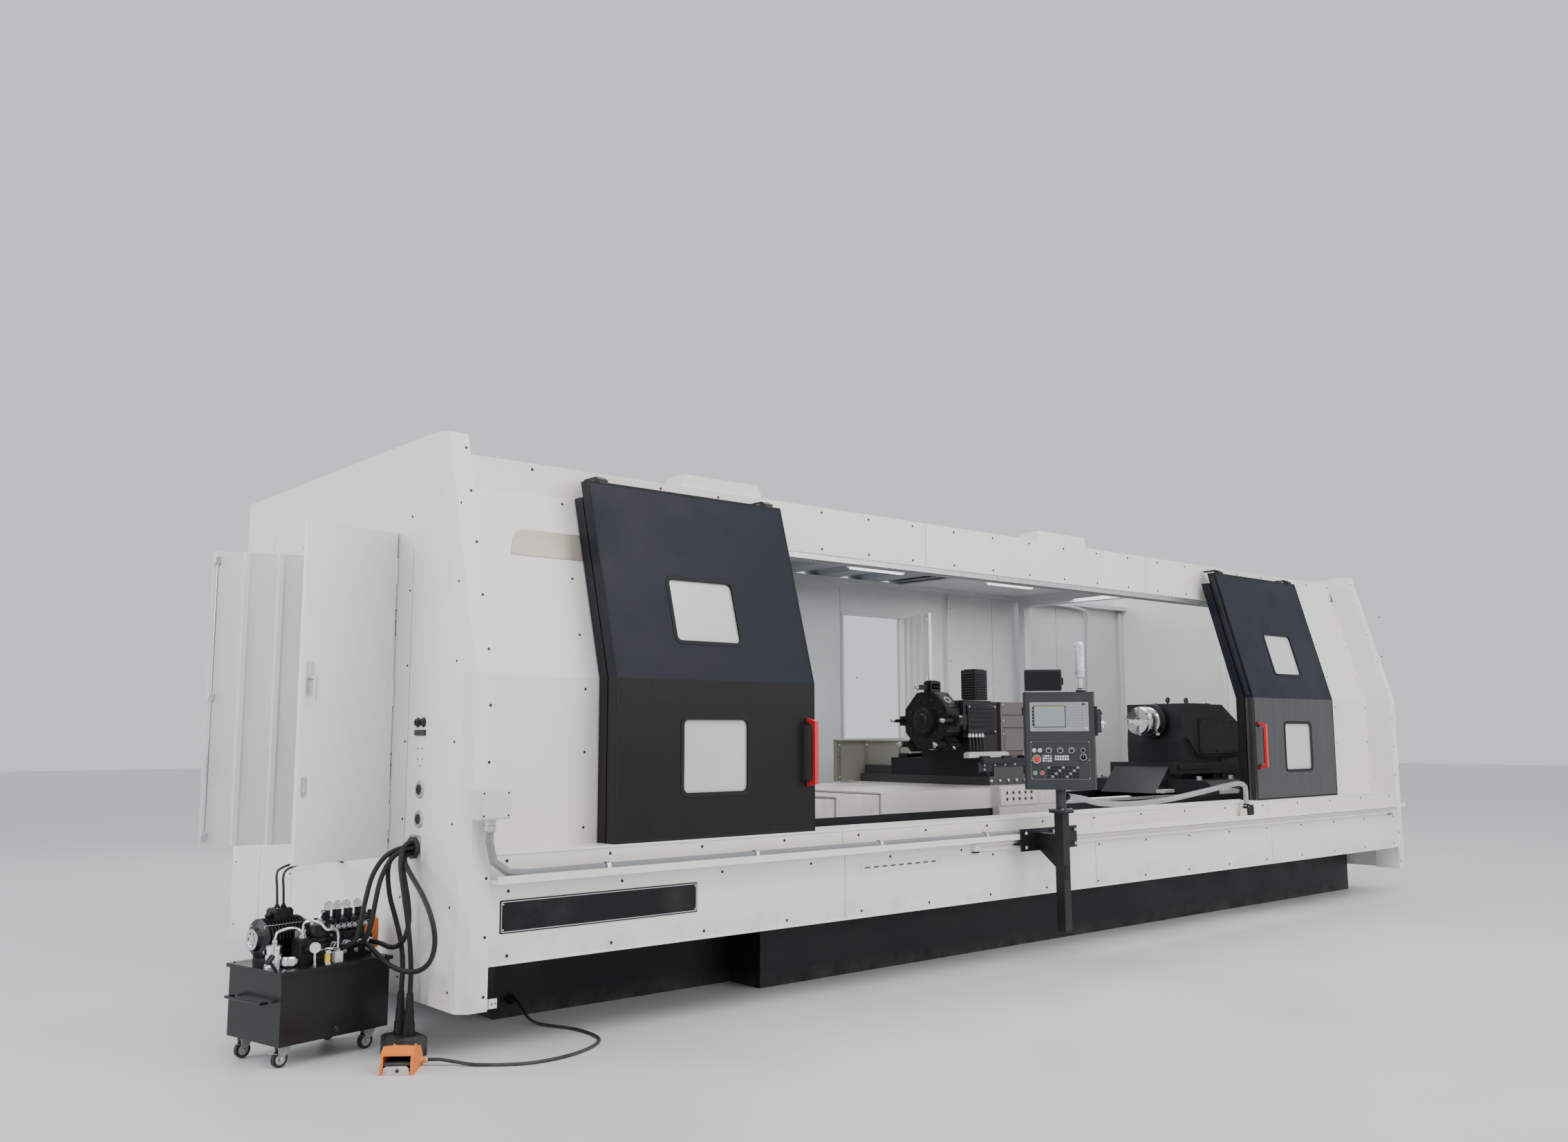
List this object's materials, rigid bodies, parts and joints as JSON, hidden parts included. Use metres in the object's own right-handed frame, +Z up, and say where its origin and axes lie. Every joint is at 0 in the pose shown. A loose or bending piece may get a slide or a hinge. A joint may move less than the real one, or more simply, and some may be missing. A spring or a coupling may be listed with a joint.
{
  "type": "cnc turning lathe",
  "caption": "Long flat-bed turning lathe in a sheet-metal enclosure with sliding doors, sliding roof, tool turret, tailstock, swivel control pendant, hydraulic unit and foot pedal.",
  "frame": {"origin": "on the floor under the middle of the machine, straight below the spindle axis", "axes": "+X along the spindle from headstock to tailstock, +Y from the operator to the rear wall, +Z up"},
  "size_m": [11.4903, 3.8196, 3.1661],
  "materials": {
    "left_cap": "satin paint",
    "right_cap": "satin paint",
    "apron": "satin paint",
    "left_front_panel": "satin paint",
    "right_front_panel": "satin paint",
    "header_beam": "satin paint",
    "rear_wall": "satin paint",
    "fixed_roof": "satin paint",
    "cabinet_box": "satin paint",
    "bed": "painted casting",
    "headstock": "painted casting",
    "fixed_way_cover": "machined",
    "junction_box": "satin paint",
    "gutter_conduit": "matt",
    "pendant_conduit": "satin braid",
    "hydraulic_tank": "satin paint",
    "pump_motor": "painted casting",
    "valve_manifold": "painted casting",
    "hydraulic_hose": "matt",
    "pedal_cable": "matt",
    "pedal_hood": "satin paint",
    "left_door": "satin paint",
    "left_door_handle": "gloss",
    "left_upper_window": "clear",
    "left_lower_window": "clear",
    "left_rear_leaf": "satin paint",
    "right_door": "satin paint",
    "right_door_handle": "gloss",
    "right_upper_window": "clear",
    "right_lower_window": "clear",
    "right_rear_leaf": "satin paint",
    "sliding_roof": "satin paint",
    "rear_door": "satin paint",
    "front_cabinet_door": "satin paint",
    "cabinet_lever": "polished",
    "rear_cabinet_door": "satin paint",
    "service_door": "satin paint",
    "chuck": "machined",
    "chuck_jaw_1": "machined",
    "chuck_jaw_2": "machined",
    "chuck_jaw_3": "machined",
    "chuck_jaw_4": "machined",
    "saddle": "painted casting",
    "middle_way_cover": "machined",
    "cross_slide": "painted casting",
    "turret_body": "painted casting",
    "turret_disc": "painted casting",
    "tailstock": "painted casting",
    "quill": "machined",
    "live_chuck": "machined",
    "pendant_carriage": "satin paint",
    "pendant_box": "satin paint",
    "stack_light": "gloss",
    "emergency_stop": "gloss",
    "override_knob": "matt",
    "caster_wheel_1": "matt",
    "caster_wheel_2": "matt",
    "caster_wheel_3": "matt",
    "caster_wheel_4": "matt",
    "pedal_treadle": "satin paint"
  },
  "bodies": {
    "machine": {"left_cap": "left_cap", "right_cap": "right_cap", "apron": "apron", "left_front_panel": "left_front_panel", "right_front_panel": "right_front_panel", "header_beam": "header_beam", "rear_wall": "rear_wall", "fixed_roof": "fixed_roof", "cabinet_box": "cabinet_box", "bed": "bed", "headstock": "headstock", "fixed_way_cover": "fixed_way_cover", "junction_box": "junction_box", "gutter_conduit": "gutter_conduit", "pendant_conduit": "pendant_conduit", "hydraulic_tank": "hydraulic_tank", "pump_motor": "pump_motor", "valve_manifold": "valve_manifold", "hydraulic_hose": "hydraulic_hose", "pedal_cable": "pedal_cable", "pedal_hood": "pedal_hood"},
    "left_door_leaf": {"left_door": "left_door", "left_door_handle": "left_door_handle", "left_upper_window": "left_upper_window", "left_lower_window": "left_lower_window"},
    "left_trailing_leaf": {"left_rear_leaf": "left_rear_leaf"},
    "right_door_leaf": {"right_door": "right_door", "right_door_handle": "right_door_handle", "right_upper_window": "right_upper_window", "right_lower_window": "right_lower_window"},
    "right_trailing_leaf": {"right_rear_leaf": "right_rear_leaf"},
    "roof_cover": {"sliding_roof": "sliding_roof"},
    "rear_service_leaf": {"rear_door": "rear_door"},
    "cabinet_front_leaf": {"front_cabinet_door": "front_cabinet_door"},
    "cabinet_lock": {"cabinet_lever": "cabinet_lever"},
    "cabinet_rear_leaf": {"rear_cabinet_door": "rear_cabinet_door"},
    "end_service_leaf": {"service_door": "service_door"},
    "spindle": {"chuck": "chuck"},
    "jaw_1": {"chuck_jaw_1": "chuck_jaw_1"},
    "jaw_2": {"chuck_jaw_2": "chuck_jaw_2"},
    "jaw_3": {"chuck_jaw_3": "chuck_jaw_3"},
    "jaw_4": {"chuck_jaw_4": "chuck_jaw_4"},
    "carriage": {"saddle": "saddle"},
    "middle_cover": {"middle_way_cover": "middle_way_cover"},
    "tool_slide": {"cross_slide": "cross_slide", "turret_body": "turret_body"},
    "turret": {"turret_disc": "turret_disc"},
    "tailstock_body": {"tailstock": "tailstock"},
    "tail_quill": {"quill": "quill"},
    "tail_live_chuck": {"live_chuck": "live_chuck"},
    "pendant_trolley": {"pendant_carriage": "pendant_carriage"},
    "pendant_head": {"pendant_box": "pendant_box", "stack_light": "stack_light"},
    "stop_button": {"emergency_stop": "emergency_stop"},
    "feed_knob": {"override_knob": "override_knob"},
    "wheel_1": {"caster_wheel_1": "caster_wheel_1"},
    "wheel_2": {"caster_wheel_2": "caster_wheel_2"},
    "wheel_3": {"caster_wheel_3": "caster_wheel_3"},
    "wheel_4": {"caster_wheel_4": "caster_wheel_4"},
    "treadle": {"pedal_treadle": "pedal_treadle"}
  },
  "joints": [
    {"name": "left_door_slide", "type": "slide", "parent": "machine", "child": "left_door_leaf", "axis": [1, 0, 0], "range_m": [0, 2.58]},
    {"name": "left_trailing_slide", "type": "slide", "parent": "machine", "child": "left_trailing_leaf", "axis": [1, 0, 0], "range_m": [0, 1.29]},
    {"name": "right_door_slide", "type": "slide", "parent": "machine", "child": "right_door_leaf", "axis": [1, 0, 0], "range_m": [-2.58, 0]},
    {"name": "right_trailing_slide", "type": "slide", "parent": "machine", "child": "right_trailing_leaf", "axis": [1, 0, 0], "range_m": [-1.29, 0]},
    {"name": "roof_slide", "type": "slide", "parent": "machine", "child": "roof_cover", "axis": [1, 0, 0], "range_m": [0, 3.7]},
    {"name": "rear_door_hinge", "type": "hinge", "parent": "machine", "child": "rear_service_leaf", "pos_m": [1.27, 1.7857, 2.1075], "axis": [0, 0, 1], "range_deg": [-65, 35]},
    {"name": "front_cabinet_hinge", "type": "hinge", "parent": "machine", "child": "cabinet_front_leaf", "pos_m": [-5.1143, -0.56, 1.78], "axis": [0, 0, 1], "range_deg": [-106, 10]},
    {"name": "cabinet_lever_turn", "type": "hinge", "parent": "cabinet_front_leaf", "child": "cabinet_lock", "pos_m": [-5.61508, -0.71462, 1.84], "axis": [0.2756, -0.9613, 0], "range_deg": [0, 90]},
    {"name": "rear_cabinet_hinge", "type": "hinge", "parent": "machine", "child": "cabinet_rear_leaf", "pos_m": [-5.1143, 0.6, 1.78], "axis": [0, 0, 1], "range_deg": [-10, 106]},
    {"name": "service_door_hinge", "type": "hinge", "parent": "machine", "child": "end_service_leaf", "pos_m": [5.1143, 0.46, 1.93], "axis": [0, 0, 1], "range_deg": [-92, 20]},
    {"name": "spindle_turn", "type": "hinge", "parent": "machine", "child": "spindle", "pos_m": [-2.368, 0, 1.67], "axis": [1, 0, 0], "continuous": true},
    {"name": "jaw_1_slide", "type": "slide", "parent": "spindle", "child": "jaw_1", "axis": [0, 0, 1], "range_m": [-0.045, 0.03]},
    {"name": "jaw_2_slide", "type": "slide", "parent": "spindle", "child": "jaw_2", "axis": [0, -1, 0], "range_m": [-0.045, 0.03]},
    {"name": "jaw_3_slide", "type": "slide", "parent": "spindle", "child": "jaw_3", "axis": [0, 0, -1], "range_m": [-0.045, 0.03]},
    {"name": "jaw_4_slide", "type": "slide", "parent": "spindle", "child": "jaw_4", "axis": [0, 1, 0], "range_m": [-0.045, 0.03]},
    {"name": "carriage_slide", "type": "slide", "parent": "machine", "child": "carriage", "axis": [1, 0, 0], "range_m": [-0.9, 1.3]},
    {"name": "middle_cover_slide", "type": "slide", "parent": "machine", "child": "middle_cover", "axis": [1, 0, 0], "range_m": [-0.45, 0.65]},
    {"name": "cross_slide_feed", "type": "slide", "parent": "carriage", "child": "tool_slide", "axis": [0, 1, 0], "range_m": [-0.12, 0.34]},
    {"name": "turret_index", "type": "hinge", "parent": "tool_slide", "child": "turret", "pos_m": [-0.5403, -0.36, 1.655], "axis": [1, 0, 0], "continuous": true},
    {"name": "tailstock_slide", "type": "slide", "parent": "machine", "child": "tailstock_body", "axis": [1, 0, 0], "range_m": [-1, 0.38]},
    {"name": "quill_slide", "type": "slide", "parent": "tailstock_body", "child": "tail_quill", "axis": [1, 0, 0], "range_m": [-0.5, 0]},
    {"name": "live_chuck_spin", "type": "hinge", "parent": "tail_quill", "child": "tail_live_chuck", "pos_m": [2.813, 0, 1.67], "axis": [1, 0, 0], "continuous": true},
    {"name": "pendant_slide", "type": "slide", "parent": "machine", "child": "pendant_trolley", "axis": [1, 0, 0], "range_m": [-0.33, 2.4], "deforming": ["pendant_conduit"]},
    {"name": "pendant_swivel", "type": "hinge", "parent": "pendant_trolley", "child": "pendant_head", "pos_m": [-0.81, -1.7, 1.175], "axis": [0, 0, 1], "range_deg": [-35, 35]},
    {"name": "stop_press", "type": "slide", "parent": "pendant_head", "child": "stop_button", "axis": [0.766, 0.6428, 0], "range_m": [0, 0.005], "stiffness_N_per_m": 800},
    {"name": "feed_knob_turn", "type": "hinge", "parent": "pendant_head", "child": "feed_knob", "pos_m": [-0.76495, -1.86104, 1.3928], "axis": [-0.766, -0.6428, 0], "range_deg": [-135, 135]},
    {"name": "wheel_1_roll", "type": "hinge", "parent": "machine", "child": "wheel_1", "pos_m": [-5.73852, -0.85686, 0.038], "axis": [-0.2079, 0.9781, 0], "continuous": true},
    {"name": "wheel_2_roll", "type": "hinge", "parent": "machine", "child": "wheel_2", "pos_m": [-5.27879, -0.75914, 0.038], "axis": [-0.2079, 0.9781, 0], "continuous": true},
    {"name": "wheel_3_roll", "type": "hinge", "parent": "machine", "child": "wheel_3", "pos_m": [-5.34532, -0.44613, 0.038], "axis": [-0.2079, 0.9781, 0], "continuous": true},
    {"name": "wheel_4_roll", "type": "hinge", "parent": "machine", "child": "wheel_4", "pos_m": [-5.80505, -0.54385, 0.038], "axis": [-0.2079, 0.9781, 0], "continuous": true},
    {"name": "treadle_press", "type": "hinge", "parent": "machine", "child": "treadle", "pos_m": [-5.29265, -1.2418, 0.0299], "axis": [0.788, -0.6157, 0], "range_deg": [0, 7], "stiffness_Nm_per_rad": 6}
  ],
  "couplings": [
    {"joint": "left_trailing_slide", "follows": "left_door_slide", "ratio": 0.5},
    {"joint": "right_trailing_slide", "follows": "right_door_slide", "ratio": 0.5},
    {"joint": "middle_cover_slide", "follows": "carriage_slide", "ratio": 0.5}
  ]
}
